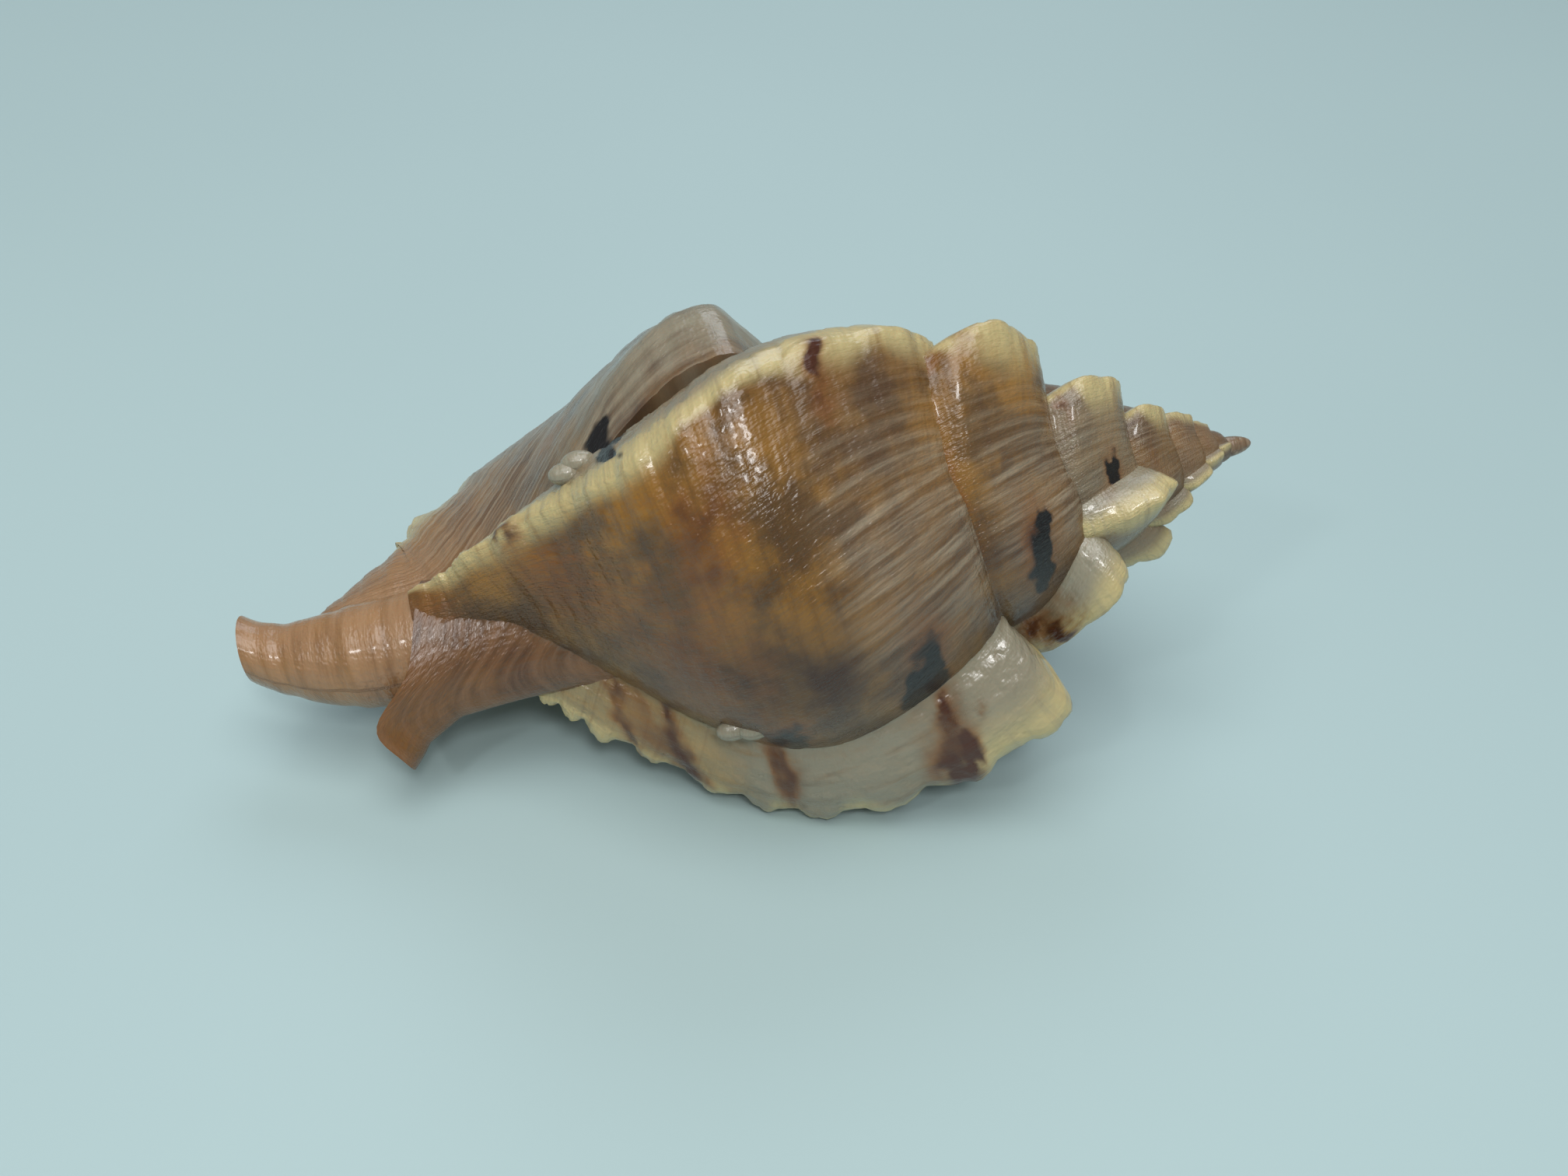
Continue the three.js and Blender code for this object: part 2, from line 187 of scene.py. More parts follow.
@dataclass
class Solid:
    """A closed surface with the values its finish reads.

    Args:
        name: What it is.
        points: Rings of points, as rings by places by 3.
        values: Three numbers for each point under each name. trace: growth and curve length in
            millimetres, and 0. marks: rust, soot and ivory. tones: mauve, cream and salmon.
            zones: 0, lining and how dull the ground is.
    """

    name: str
    points: Array
    values: dict[str, Array]

    def build(self) -> bpy.types.Object:
        """Make the mesh: quads between neighbouring rings, and a strip across each end ring."""
        rings, count = self.points.shape[:2]
        ring, spot = np.meshgrid(np.arange(rings - 1), np.arange(count), indexing="ij")
        here, beside = ring * count + spot, ring * count + (spot + 1) % count
        side = np.stack([here, beside, beside + count, here, beside + count, here + count], axis=-1)
        step = np.arange((count - 1) // 2)
        one, two, three, four = step, step + 1, count - 2 - step, count - 1 - step
        strip = np.stack([one, three, two, one, four, three], axis=-1)
        lid = (rings - 1) * count + np.stack([one, two, three, one, three, four], axis=-1)
        faces = np.concatenate([part.reshape(-1, 3) for part in (side, strip, lid)])
        faces = faces[(faces != np.roll(faces, 1, axis=1)).all(axis=1)]
        points = self.points.reshape(-1, 3)
        corner = points[faces]
        volume = np.einsum("ij,ij->i", corner[:, 0], np.cross(corner[:, 1], corner[:, 2])).sum()
        if volume < 0:
            faces = faces[:, ::-1]
        mesh = bpy.data.meshes.new(self.name)
        mesh.vertices.add(len(points))
        mesh.vertices.foreach_set("co", points.astype(np.float32).ravel())
        mesh.loops.add(faces.size)
        mesh.loops.foreach_set("vertex_index", faces.ravel().astype(np.int32))
        mesh.polygons.add(len(faces))
        mesh.polygons.foreach_set("loop_start", np.arange(0, faces.size, 3, dtype=np.int32))
        mesh.update(calc_edges=True)
        for name, value in self.values.items():
            layer = mesh.attributes.new(name, "FLOAT_VECTOR", "CORNER")
            spread = value.reshape(-1, 3)[faces.ravel()]
            layer.data.foreach_set("vector", spread.astype(np.float32).ravel())
        piece = bpy.data.objects.new(self.name, mesh)
        bpy.context.scene.collection.objects.link(piece)
        return piece


def tube(name: str, centres: Array, first: Array, second: Array, sides: int, tint: "Tint") -> Solid:
    """An elliptical tube: each ring is centre + first cos a + second sin a.

    Args:
        name: What it is.
        centres: The centre of each ring.
        first: The first half axis of each ring.
        second: The second half axis of each ring.
        sides: Points in a ring.
        tint: The values its finish reads, which are the same all over.

    Returns:
        The closed tube.
    """
    angle = 2 * np.pi * (np.arange(sides) + 0.5) / sides
    turn = np.cos(angle)[:, None] * first[:, None] + np.sin(angle)[:, None] * second[:, None]
    points = centres[:, None] + turn
    trace = np.zeros_like(points)
    trace[..., 0] = CURVE_END - centres[:, None, 0]
    trace[..., 1] = np.linalg.norm(first, axis=-1)[:, None] * angle[None, :]
    return Solid(name, points, {"trace": trace} | tint.spread(points.shape))


def rod(name: str, centres: Array, r: Array, sides: int, tint: "Tint") -> Solid:
    """A round tube square to the axis, with its own radius at each ring."""
    return tube(name, centres, r[:, None] * across(0), r[:, None] * across(90), sides, tint)


@dataclass(frozen=True)
class Tint:
    """The finish of a plain solid: how much of each colour it carries all over."""

    rust: float = 0.0
    ivory: float = 0.0
    mauve: float = 0.0
    salmon: float = 0.0
    dull: float = 0.0
    zone: Zone = Zone.OUTSIDE

    def spread(self, shape: tuple[int, ...]) -> dict[str, Array]:
        """The same marks, tones and zones at every point of an array of the given shape."""
        rows = {
            "marks": (self.rust, 0.0, self.ivory),
            "tones": (self.mauve, 0.0, self.salmon),
            "zones": (0.0, self.zone.value, self.dull),
        }
        return {name: np.broadcast_to(row, shape) for name, row in rows.items()}


# ---- growth ----


@dataclass(frozen=True)
class Wing:
    """One wing: height over the body, gain on the shoulder, the share of the body curve over
    which it rises from the suture, and the growth over which its front face falls."""

    height: float
    shoulder: float = 1.0
    rise: float = 0.1
    lead: float = 12.0


@dataclass(frozen=True)
class Body:
    """The body curve at each growth angle: the suture, the widest place and the size."""

    suture_x: Array
    suture_r: Array
    wide_x: Array
    wide_r: Array
    scale: Array


@dataclass
class Growth:
    """The sizes and formulas of the coiled body, shared by every stretch."""

    apex_x: float = 59.6
    rate: float = 0.00125
    varices: tuple[float, ...] = (
        0, -118, -240, -362, -472, -606, -728, -836, -905, -976, -1090, -1196,
    )
    early_varix_step: float = 112.0
    last_varix_phi: float = 196.0
    last_suture: float = 22.2
    suture_radius: float = 0.488
    periphery_radius: float = 12.6
    periphery_drop: float = 10.2
    early_drop: float = 0.616
    late_widening: float = 0.55
    shoulder_power: float = 1.5
    shoulder_share: float = 0.38
    base_length: float = 18.0
    base_power: float = 0.85
    neck_radius: float = 2.8
    neck_tip_radius: float = 1.8
    neck_length: float = 9.0

    def grown(self, t: Array) -> Array:
        """Size at growth angle t: e to the rate times t."""
        return np.exp(self.rate * np.asarray(t, float))

    def varix_at(self, index: int) -> float:
        """Growth angle of the varix that is index places before the last."""
        earlier = max(index + 1 - len(self.varices), 0)
        return self.varices[min(index, len(self.varices) - 1)] - earlier * self.early_varix_step

    def body_at(self, t: Array) -> Body:
        """The body curve's sizes at growth angle t."""
        suture = self.last_suture * self.grown(t)
        turning = self.varix_at(2)
        drop = np.minimum(self.early_drop * suture, self.periphery_drop)
        widening = np.minimum(t - turning, self.late_widening * (t - turning))
        return Body(
            suture_x=self.apex_x - suture,
            suture_r=self.suture_radius * suture,
            wide_x=self.apex_x - suture - drop,
            wide_r=self.periphery_radius * self.grown(widening),
            scale=np.minimum(drop / self.periphery_drop, 1.0),
        )

    def curve(self, body: Body, share: Array, tip_x: float) -> tuple[Array, Array]:
        """The body curve: a superellipse over the shoulder, then a cosine fall to the neck.

        Args:
            body: Sizes at each growth angle.
            share: Place on the curve.
            tip_x: Where the canal ends.

        Returns:
            The x and r of each point.
        """
        angle = np.clip(share / self.shoulder_share, 0, 1) * np.pi / 2
        power = 2 / self.shoulder_power
        over_x = body.wide_x + (body.suture_x - body.wide_x) * np.maximum(np.cos(angle), 0) ** power
        over_r = body.suture_r + (body.wide_r - body.suture_r) * np.sin(angle) ** power
        along = (share - self.shoulder_share) / (1 - self.shoulder_share)
        under_x = body.wide_x + (tip_x - body.wide_x) * along
        down = np.clip((body.wide_x - under_x) / (self.base_length * body.scale), 0, 1)
        fall = ((1 + np.cos(np.pi * down)) / 2) ** self.base_power
        thicker = self.neck_radius - self.neck_tip_radius
        neck = self.neck_tip_radius + thicker * ease(under_x, 0, self.neck_length)
        neck = neck * body.scale
        under_r = neck + (body.wide_r - neck) * fall
        over = share < self.shoulder_share
        return np.where(over, over_x, under_x), np.where(over, over_r, under_r)


@dataclass
class Relief:
    """The fine relief, in millimetres on the last whorl: cords, growth lines and frills."""

    cord_step: float = 1.45
    cord_depth: float = 0.035
    wing_cord_depth: float = 0.055
    line_step: float = 3.4
    line_height: float = 0.07
    frill_step: float = 3.6
    frill_height: float = 0.12
    scallop_step: float = 3.9
    scallop: float = 0.16
    cord_wander: Ripple = Ripple(0.9, 9.0, 3.0, 11)
    cord_spread: Ripple = Ripple(1.2, 1.0, 5.0, 5)
    scallop_wander: Ripple = Ripple(1.8, 5.5, 1.0, 101)
    line_wander: Ripple = Ripple(1.6, 3.2, 40.0, 31)
    line_pulse: Ripple = Ripple(1.5, 1.0, 7.0, 41)
    line_groove: float = 1.1
    frill_wander: Ripple = Ripple(0.9, 2.0, 9.0, 51)
    frill_groove: float = 0.7
    swell: Ripple = Ripple(0.12, 3.5, 4.0, 61)
    front_rise: Pair = (0.3, 1.2)

    def cord_groove(self, around: Array, length: Array, index: int) -> Array:
        """Narrow grooves between rounded cords: the cube of a raised cosine of the curve length."""
        wander = self.cord_wander.at(around, length, index)
        spread = self.cord_spread.at(0.0, length)
        return (0.5 - 0.5 * np.cos(2 * np.pi * length / self.cord_step + wander + spread)) ** 3

    def scallops(self, length: Array, index: int) -> Array:
        """Uneven scallops along a rim: a raised cosine of the curve length, 0 on the points."""
        wander = self.scallop_wander.at(length, 0.0, index)
        return 0.5 - 0.5 * np.cos(2 * np.pi * length / self.scallop_step + wander)

    def saw(self, value: Array) -> Array:
        """Slow rises with sudden drops: the square of the part after the whole number."""
        return (value - np.floor(value)) ** 2

    def height(self, index: int, after: Array, length: Array, lift: Array) -> Array:
        """The height of the relief over the smooth surface.

        Args:
            index: Which varix the stretch ends at.
            after: Growth angle counted from the varix.
            length: Place on the body curve, as millimetres on the last whorl.
            lift: Height on the wing, from 0 to 1.

        Returns:
            Heights in millimetres at the size of the last whorl.
        """
        around = around_at(after)
        groove = self.cord_groove(around, length, index)
        cords = -(self.cord_depth + (self.wing_cord_depth - self.cord_depth) * lift) * groove
        wave = after + self.line_wander.at(length, around, index) + self.line_groove * groove
        wave = wave + self.line_pulse.at(0.0, after, index)
        lines = self.line_height * self.saw(wave / self.line_step) * (0.6 + 0.4 * lift)
        front = ease(after, *self.front_rise)
        wave = after + self.frill_wander.at(length, around, index) + self.frill_groove * groove
        frills = self.frill_height * self.saw(wave / self.frill_step) * front
        return cords + lines * (1 - front) + frills + self.swell.at(around, length, index)


@dataclass
class Markings:
    """Where the brown bands, dark spots, pale faces and cream rims lie.

    A row of soot, rust or amber is one blotch: the stretch it is on, its growth angle, its
    millimetres from the widest place, and its half sizes along both.
    """

    ragged: tuple[Ripple, ...] = (Ripple(5.0, 0.9, 1.2, 111), Ripple(2.5, 0.4, 0.5, 121))
    drift: tuple[Ripple, ...] = (Ripple(0.5, 1.3, 1.0, 71), Ripple(0.25, 0.5, 0.5, 131))
    band_gaps: Ripple = Ripple(1.0, 5.0, 1.0, 81)
    rim_wander: Ripple = Ripple(1.0, 2.0, 1.0, 91)
    rim_shrink: float = 0.4575
    rim_radius: float = 15.0
    rim_width: float = 0.6
    rim_on_shoulder: float = 1.4
    rim_shoulder_rise: Pair = (3, 8)
    rim_by_canal: float = 2.3
    rim_canal_rise: Pair = (-20, -16)
    rim_canal_fall: Pair = (-13, -8)
    rim_on_last: float = 1.4
    rim_soft: Pair = (0.1, 1.5)
    rim_lift: Pair = (0.3, 0.8)
    rust_depth: float = 0.9
    amber_depth: float = 0.7
    band_depth: float = 0.5
    band_patchy: Pair = (-0.1, 0.8)
    front_rise: Pair = (-0.4, 0.8)
    front_pale: float = 0.6
    tan_depth: float = 0.8
    tan_fall: Pair = (-9, -4)
    tan_cream: float = 0.5
    # Pale paint in the trough on the last stretch, by the foot of the wing before the last. It is partly the
    # shell's own pale colour there and partly painted light that lifts the shade of the gap between that
    # wing's rim and the body.
    trough_pale_and_painted_light: float = 0.85
    foot_after: Pair = (-114, 14)
    foot_x: Pair = (32, 12)
    canal_rust: float = 0.6
    canal_rust_fall: Pair = (-19, -15)
    canal_rust_after: Pair = (-30, 40)
    shoulder_mauve: float = 0.85
    shoulder_rise: Pair = (1, 5)
    shoulder_after: Pair = (-58, 34)
    old_mauve: float = 0.12
    old_mauve_fall: Pair = (-125, -60)
    last_mauve: float = 0.6
    canal_mauve: float = 0.25
    canal_mauve_fall: Pair = (8, 22)
    spire_mauve: float = 0.45
    canal_salmon: float = 0.7
    salmon_fall: Pair = (7, 20)
    dull_fall: Pair = (-85, -15)
    spire_dull: float = 0.8
    bands: Points = ((4.7, 1.1), (-2.8, 1.4), (-9.3, 1.5), (-14.5, 1.3))
    pale_fronts: Points = ((0, 0.35), (1, 0.75), (2, 0.9), (5, 1.0), (8, 0.9), (9, 0.5))
    pale_backs: Points = ((7, 0.3), (8, 0.4))
    soot: Rows = (
        (1, -104, 5.3, 17, 1.3), (1, -98, -2.4, 8, 1.1), (4, -91, 5.4, 12, 0.9), (4, -76, 6.4, 9, 0.7),
        (7, -50, 6.4, 9, 0.8), (1, 9, -6.2, 4, 0.8), (0, -128, -7.4, 8, 0.8),
    )
    rust: Rows = (
        (1, -98, 5.6, 28, 2), (1, -97, -2.6, 14, 1.9), (4, -80, 5.6, 26, 1.9),
        (7, -50, 6.4, 15, 1.4), (2, 1.5, 6.9, 3.4, 1.1), (2, 13, 5.9, 6, 0.9),
        (2, 8, -3.4, 12, 0.8), (5, 1.5, 6.4, 5, 1.3), (5, 13, 3.5, 6, 1.2),
        (7, -8, 2.5, 8, 1), (1, -5, 4.7, 5, 0.7),
    )
    amber: Rows = (
        (2, 8, -8.9, 12, 0.8), (2, 8, -10.4, 12, 1.6), (2, 8, -12.2, 12, 0.6),
        (2, 3, 5.5, 8, 1.5), (5, 5, 5, 8, 1.4), (0, -6, -8, 9, 1.2),
        (0, -6, -2, 9, 1.2), (0, -6, 4, 9, 1.2), (1, -24, -2.8, 16, 2.3),
        (1, -12, 4.7, 12, 1.2), (1, -28, -11.5, 26, 3.4), (1, -62, -6, 36, 3.6),
        (4, -2, 2.2, 9, 1.2), (4, -45, 0.6, 40, 1), (4, -3, 5, 7, 1),
        (1, -3, -13.5, 5, 1),
    )

    def worn(self, index: int, after: Array, up_spire: Array) -> tuple[Array, Array]:
        """The two places on a stretch, shifted by noise, so that the marks have ragged edges."""
        around = around_at(after)
        ragged, drift = after, up_spire
        for ripple in self.ragged:
            ragged = ragged + ripple.at(up_spire, around, index)
        for ripple in self.drift:
            drift = drift + ripple.at(around, up_spire, index)
        return ragged, drift

    def blotched(self, rows: Rows, index: int, ragged: Array, drift: Array) -> Array:
        """The sum of one stretch's blotches, each a bell in both directions."""
        mask = np.zeros(drift.shape)
        for stretch, after, up_spire, growth, width in rows:
            if stretch == index:
                mask = mask + bell(ragged, after, growth) * bell(drift, up_spire, width)
        return mask

    def rust_on(self, index: int, after: Array, ragged: Array, drift: Array) -> Array:
        """Brown spots and blots, and patchy bands that wind with the whorls."""
        rust = self.rust_depth * self.blotched(self.rust, index, ragged, drift)
        rust = rust + self.amber_depth * self.blotched(self.amber, index, ragged, drift)
        for centre, width in self.bands:
            patchy = ease(self.band_gaps.at(around_at(after), centre, index), *self.band_patchy)
            rust = np.maximum(rust, self.band_depth * patchy * bell(drift, centre, width))
        return rust

    def rim_cream(self, index: int, after: Array, up_spire: Array, lift: Array) -> Array:
        """Cream along the rim, in a margin that is widest on the shoulder and by the canal."""
        shrunk = np.exp(-self.rim_shrink * (index // 3))
        margin = np.radians(np.abs(after)) * self.rim_radius * shrunk
        by_canal = ease(up_spire, *self.rim_canal_rise) * (1 - ease(up_spire, *self.rim_canal_fall))
        width = self.rim_width + self.rim_on_shoulder * ease(up_spire, *self.rim_shoulder_rise)
        width = width + self.rim_by_canal * by_canal + self.rim_on_last * (index == 0)
        width = np.maximum(width + self.rim_wander.at(up_spire, 0.0, index), self.rim_width / 2)
        return (1 - ease(margin / width, *self.rim_soft)) * ease(lift, *self.rim_lift)

    def paint(self, index: int, after: Array, up_spire: Array, x: Array, lift: Array) -> dict[str, Array]:
        """How much of each colour every point carries.

        Args:
            index: Which varix the stretch ends at.
            after: Growth angle counted from the varix.
            up_spire: Millimetres from the widest place towards the apex, at full size.
            x: Distance along the axis.
            lift: Height on the wing, from 0 to 1.

        Returns:
            Marks (rust, soot, ivory), tones (mauve, cream, salmon) and zones (0, lining, dull).
        """
        last, second, third, early = index == 0, index == 1, index == 2, index > 6
        ragged, drift = self.worn(index, after, up_spire)
        front = ease(after, *self.front_rise)
        rust = self.rust_on(index, after, ragged, drift)
        soot = self.blotched(self.soot, index, ragged, drift)
        tan = self.tan_depth * (1 - ease(up_spire, *self.tan_fall)) * third
        pale = dict(self.pale_fronts).get(index, self.front_pale)
        ivory = pale * front * (1 - tan) * (1 - 0.85 * np.clip(rust, 0, 1))
        ivory = np.maximum(ivory, dict(self.pale_backs).get(index, 0.0))
        # Pale trough on the last stretch by the foot of the wing before the last: partly the shell's pale
        # colour, partly painted light over the shade of the gap behind that wing's rim.
        foot = bell(ragged, *self.foot_after) * bell(x, *self.foot_x) * last
        ivory = np.maximum(ivory, self.trough_pale_and_painted_light * foot)
        cream = np.maximum(self.rim_cream(index, after, up_spire, lift), self.tan_cream * tan * front)
        by_canal = (1 - ease(up_spire, *self.canal_rust_fall)) * bell(after, *self.canal_rust_after)
        rust = np.maximum(rust, self.canal_rust * by_canal * second)
        shoulder = ease(up_spire, *self.shoulder_rise) * bell(after, *self.shoulder_after)
        older = 1 - ease(after, *self.old_mauve_fall)
        mauve = self.shoulder_mauve * shoulder + self.old_mauve * older
        on_last = self.last_mauve + self.canal_mauve * (1 - ease(x, *self.canal_mauve_fall))
        mauve = np.where(last, on_last, np.where(early, self.spire_mauve, mauve))
        salmon = self.canal_salmon * (1 - ease(x, *self.salmon_fall)) * last
        dull = np.maximum(1 - ease(after, *self.dull_fall), self.spire_dull * (index > 5))
        return {
            "marks": layers(lift.shape, rust, soot, ivory),
            "tones": layers(lift.shape, mauve, cream, salmon),
            "zones": layers(lift.shape, 0.0, Zone.OUTSIDE.value, dull),
        }


@dataclass
class Stretch:
    """One stretch of growth, from the foot of the varix before to the front of its own wing.

    Args:
        index: Which varix it ends at, counted back from the last.
        growth: The body it grows on.
        relief: Its fine relief.
        markings: Its colours.
    """

    index: int
    growth: Growth
    relief: Relief
    markings: Markings
    inner_share: float = 0.25
    overlap: float = 14.0
    ramp: float = 62.0
    ramp_power: float = 1.7
    canal_ramp: float = 95.0
    canal_ramp_power: float = 2.6
    canal_ramp_ends: Pair = (14.0, 26.0)
    lead_power: float = 1.1
    recurve: float = 3.5
    early_wing: float = 0.2
    lip_closing: float = 62.0
    lip_drop: float = 0.3
    edge_round: float = 0.9
    curve_length: Points = ((0.0, 0.0), (0.38, 13.0), (1.0, CURVE_END))
    tips: tuple[float, ...] = (0.0, 10.4)
    early_tip_x: float = 15.0
    wings: tuple[Wing, ...] = (
        Wing(7.6, 0.85, 0.12, 11), Wing(2.6, 1.1, 0.06, 11), Wing(4.3, 1.35, 0.09, 18), Wing(4.6, 1, 0.25),
        Wing(4.7, 0.96, 0.2, 8), Wing(2.3, 1.3, 0.09, 16), Wing(3.0, 1, 0.2), Wing(2.9, 0.98, 0.19, 8),
        Wing(1.0, 2.2, 0.04, 14), Wing(1.2, 1.7, 0.05), Wing(1.4, 1, 0.2), Wing(1.6, 0.9, 0.2, 8),
    )
    last_reach: Points = (
        (0, 0), (1.8, 0.02), (2.9, 0.1), (4.6, 0.36), (9, 0.75), (13.4, 0.82), (16, 0.84),
        (18.5, 0.98), (21, 1.1), (25, 1.08), (30, 1.02), (36, 1), (59.6, 0.9),
    )
    last_slant: Points = (
        (0, 19), (2.9, 5), (4.6, -10), (9, -25), (13.4, -26), (17, -18), (20, -3),
        (24, 14), (28, 20.5), (34, 23), (59.6, 25),
    )
    reaches: tuple[Points, ...] = (
        (
            (-22, 0.3), (-18, 0.8), (-15, 1.08), (-12, 1.05), (-9.6, 0.6),
            (-8, 0.55), (-5, 0.75), (0, 1), (20, 1),
        ),
        ((-22, 0.25), (-18, 0.45), (-15, 0.75), (-12, 0.95), (0, 1), (4, 1.12), (8, 1)),
    )
    old_reach: Points = ((-6, 0), (-1, 0.15), (1, 0.6), (3, 0.95), (6, 1), (20, 1))
    foot_fill: float = 0.9
    foot_after: float = -113.0
    foot_growth: float = 9.0
    foot_x: float = 28.0
    foot_half: float = 6.0
    lift_dip: float = 0.04
    rim_groove: float = 0.02
    closing_share: float = 0.85
    inner_step: int = 5
    slope_step: float = 1e-3
    ring_spans: tuple[tuple[float, int], ...] = ((-58, 44), (-5, 52), (2, 16))
    front_rings: int = 24
    closing_rings: int = 44
    grids: tuple[tuple[int, float, int, int], ...] = ((3, 1.0, 56, 114), (9, 0.5, 42, 56), (99, 0.3, 20, 24))
    dip_depth: float = 2.5
    dip_rises: Pair = (-80.0, -35.0)
    bend_from: float = -6.5
    bend: float = 0.0645
    bend_on_canal: float = 0.09
    bend_behind: float = 5.2
    hollow_x: float = 25.0
    hollow_half: float = 6.0
    hollow_back: float = 10.0
    advanced: int = 5
    advance: float = 28.0
    aperture_x: float = 26.5
    aperture_growth: float = 38.0
    aperture_length: float = 14.0
    aperture_width: float = 9.2
    aperture_radius: float = 12.0
    aperture_lip: float = 1.0
    aperture_lip_width: float = 0.3

    def tip_at(self, varix: float) -> float:
        """Where the stretch's canal ends: shrinking towards the apex on all but the last two."""
        if self.index < len(self.tips):
            return self.tips[self.index]
        growth = self.growth
        shrunk = float(growth.grown(varix - growth.varix_at(2)))
        return growth.apex_x + (self.early_tip_x - growth.apex_x) * shrunk

    def wing(self, rim: Body) -> Wing:
        """This stretch's wing: its own row, or a share of the whorl's size on early ones."""
        if self.index < len(self.wings):
            return self.wings[self.index]
        return Wing(self.early_wing * float(self.growth.apex_x - rim.suture_x))

    def wing_height(self, share: Array, x: Array, rim: Body) -> Array:
        """The wing's height where it is fully raised: its size times its reach along the shell."""
        up_spire = (x - rim.wide_x) / rim.scale
        wing = self.wing(rim)
        rows = self.reaches[self.index - 1] if 0 < self.index < 3 else self.old_reach
        reach = table(x, self.last_reach) if self.index == 0 else table(up_spire, rows)
        shoulder = 1 + (wing.shoulder - 1) * ease(up_spire, 3, 9)
        return wing.height * reach * shoulder * ease(share, 0, wing.rise)

    def rim_slant(self, x: Array, rim: Body) -> Array:
        """How far the rim is ahead of the varix: a parabola along the shell, in degrees."""
        if self.index == 0:
            return table(x, self.last_slant)
        up_spire = np.clip((x - rim.wide_x) / rim.scale, -22, 12)
        hollow = self.hollow_back * bell(x, self.hollow_x, self.hollow_half) * (self.index == 1)
        advance = self.advance * ease(up_spire, 3, 9) * (self.index == self.advanced)
        on_canal = (up_spire < self.bend_from) & (self.index == 1)
        bend = np.where(on_canal, self.bend_on_canal, self.bend)
        return bend * (up_spire - self.bend_from) ** 2 - self.bend_behind - hollow + advance

    def dip(self, after: Array, share: Array) -> Array:
        """How far the last whorl is sunk under the shoulder, just after the wing before."""
        if self.index > 0:
            return np.zeros(np.broadcast_shapes(share.shape, after.shape))
        sunk = 1 - ease(after, *self.dip_rises)
        return self.dip_depth * sunk * ease(share, 0, 0.15) * (1 - ease(share, 0.26, 0.36))

    def lip(self, x: Array, after: Array) -> Array:
        """The raised lip: a bell on the distance from an oval round the aperture."""
        if self.index > 0:
            return np.zeros(np.broadcast_shapes(x.shape, after.shape))
        along = (x - self.aperture_x) / (self.aperture_length / 2)
        wide = np.radians(after - self.aperture_growth) * self.aperture_radius / (self.aperture_width / 2)
        return self.aperture_lip * bell(np.hypot(along, wide), 1, self.aperture_lip_width) * (after > 0)

    def lift_at(self, after: Array, x: Array, lead: float) -> Array:
        """The wing's height at each growth angle, as a share of its full height.

        Args:
            after: Growth angle counted from the varix.
            x: Distance along the axis: the last wing rises more slowly on the canal.
            lead: Growth over which the front face falls.

        Returns:
            The lift, from 0 to 1.
        """
        on_canal = (1 - ease(x, *self.canal_ramp_ends)) * (self.index == 0)
        ramp = self.ramp + (self.canal_ramp - self.ramp) * on_canal
        power = self.ramp_power + (self.canal_ramp_power - self.ramp_power) * on_canal
        up = np.clip(1 + after / ramp, 0, 1) ** power
        down = np.clip(1 - after / lead, 0, 1) ** self.lead_power
        lift = np.where(after <= 0, up, down) - self.lift_dip * bell(after, 0, self.edge_round)
        return np.clip(lift, 0, 1)

    def outward(self, body: Body, share: Array, tip_x: float) -> tuple[Array, Array]:
        """The x and r of the unit vector square to the body curve, from its slope there."""
        before_x, before_r = self.growth.curve(body, np.maximum(share - self.slope_step, 0), tip_x)
        beyond_x, beyond_r = self.growth.curve(body, np.minimum(share + self.slope_step, 1), tip_x)
        out_x, out_r = beyond_r - before_r, before_x - beyond_x
        turn = np.where(out_r < 0, -1, 1) / np.maximum(np.hypot(out_x, out_r), 1e-9)
        return out_x * turn, out_r * turn

    def grid(self) -> tuple[float, int, int]:
        """How fine the stretch is: its share of the rings, and its shoulder and base columns."""
        return next(row[1:] for row in self.grids if self.index < row[0])

    def rows(self) -> Array:
        """The growth angles of the rings, closest at the rim and on the front face."""
        detail = self.grid()[0]
        start = self.growth.varix_at(self.index + 1) - self.growth.varix_at(self.index) - self.overlap
        lead = self.wings[self.index].lead if self.index < len(self.wings) else Wing.lead
        parts = []
        for end, rings in self.ring_spans:
            parts.append(np.linspace(start, end, round(rings * detail), endpoint=False))
            start = end
        parts.append(np.linspace(start, lead, round(self.front_rings * detail)))
        if self.index == 0:
            parts.append(np.linspace(lead + 1, self.lip_closing, self.closing_rings))
        return np.concatenate(parts)

    def shares(self) -> Array:
        """The places on the body curve, an even distance apart."""
        _, shoulder, base = self.grid()
        turn = self.growth.shoulder_share
        return np.concatenate([np.linspace(0, turn, shoulder, endpoint=False), np.linspace(turn, 1, base)])

    def solid(self) -> Solid:
        """Build the stretch: body curve, wing and relief outside, and a plain face within.

        The outside is the body curve carried round by the growth angle and raised along its
        outward direction by the wing's height times the lift, which rises as a power behind the
        rim and falls steeply in front of it. The relief is then added along the surface normal.

        Returns:
            The closed solid.
        """
        growth, index = self.growth, self.index
        after, share = self.rows()[:, None], self.shares()[None, :]
        varix = growth.varix_at(index)
        t = varix + after
        body, rim = growth.body_at(t), growth.body_at(np.array(varix))
        tip_x = self.tip_at(varix)
        x, r = growth.curve(body, share, tip_x)
        out_x, out_r = self.outward(body, share, tip_x)

        length = table(share, self.curve_length)
        around = around_at(after)
        groove = self.relief.cord_groove(around, length, index)
        lift = self.lift_at(after, x, self.wing(rim).lead)
        notches = self.relief.scallop * self.relief.scallops(length, index) + self.rim_groove * groove
        height = self.wing_height(share, x, rim) * lift * (1 - notches * lift**4)
        closed = self.lip_closing * self.closing_share
        closing = 1 - self.lip_drop * ease(after, self.wings[0].lead / 2, closed)
        phi = growth.last_varix_phi + t + self.rim_slant(x, rim) - self.recurve * lift**2
        outer_r = (r + out_r * height) * closing + self.lip(x, after) - self.dip(after, share)
        if index == 0:
            foot = bell(after, self.foot_after, self.foot_growth) * bell(x, self.foot_x, self.foot_half)
            outer_r = outer_r + self.foot_fill * foot
        outer = place(x + out_x * height, outer_r, phi)

